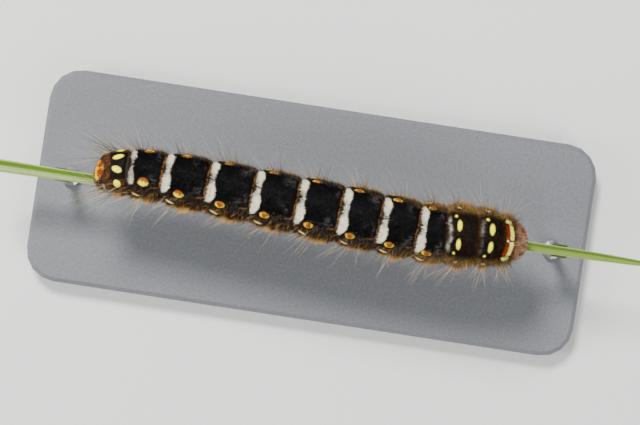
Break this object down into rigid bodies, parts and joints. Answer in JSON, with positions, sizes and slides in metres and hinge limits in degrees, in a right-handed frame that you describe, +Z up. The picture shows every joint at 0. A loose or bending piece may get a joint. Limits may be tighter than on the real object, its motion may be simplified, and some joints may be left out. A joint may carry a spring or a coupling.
{
  "type": "lappet moth larva on a grass blade",
  "caption": "Velvety banded moth larva with a hairy side fringe, stretched out along a cut grass blade on a plain display stand.",
  "frame": {"origin": "centre of the stand base's flat underside", "axes": "+X along the grass blade towards the larva's head, +Y to the larva's left, +Z up"},
  "size_m": [0.1025, 0.034, 0.0258],
  "materials": {
    "skin": "matt, velvety black with cream bands and orange spots",
    "coat": "fine hair, black and cream on the back, golden brown along the sides",
    "head_shell": "satin red-brown shell",
    "leg_shell": "satin amber-brown shell",
    "grass": "satin fresh green with paler margins",
    "stand_paint": "matt slate grey",
    "stand_steel": "satin"
  },
  "bodies": {
    "root": {"head": "head_shell", "antenna_left": "head_shell", "antenna_right": "head_shell", "thorax_1": "skin", "thorax_2": "skin", "thorax_3": "skin", "abdomen_1": "skin", "abdomen_2": "skin", "abdomen_3": "skin", "abdomen_4": "skin", "abdomen_5": "skin", "abdomen_6": "skin", "abdomen_7": "skin", "abdomen_8": "skin", "abdomen_9": "skin", "abdomen_10": "skin", "leg_1_left": "leg_shell", "leg_2_left": "leg_shell", "leg_3_left": "leg_shell", "leg_1_right": "leg_shell", "leg_2_right": "leg_shell", "leg_3_right": "leg_shell", "proleg_3_left": "skin", "proleg_4_left": "skin", "proleg_5_left": "skin", "proleg_6_left": "skin", "proleg_3_right": "skin", "proleg_4_right": "skin", "proleg_5_right": "skin", "proleg_6_right": "skin", "clasper_left": "skin", "clasper_right": "skin", "perch_grass_blade": "grass", "stand_base": "stand_paint", "stand_rod_front": "stand_steel", "stand_rod_rear": "stand_steel"}
  },
  "joints": []
}
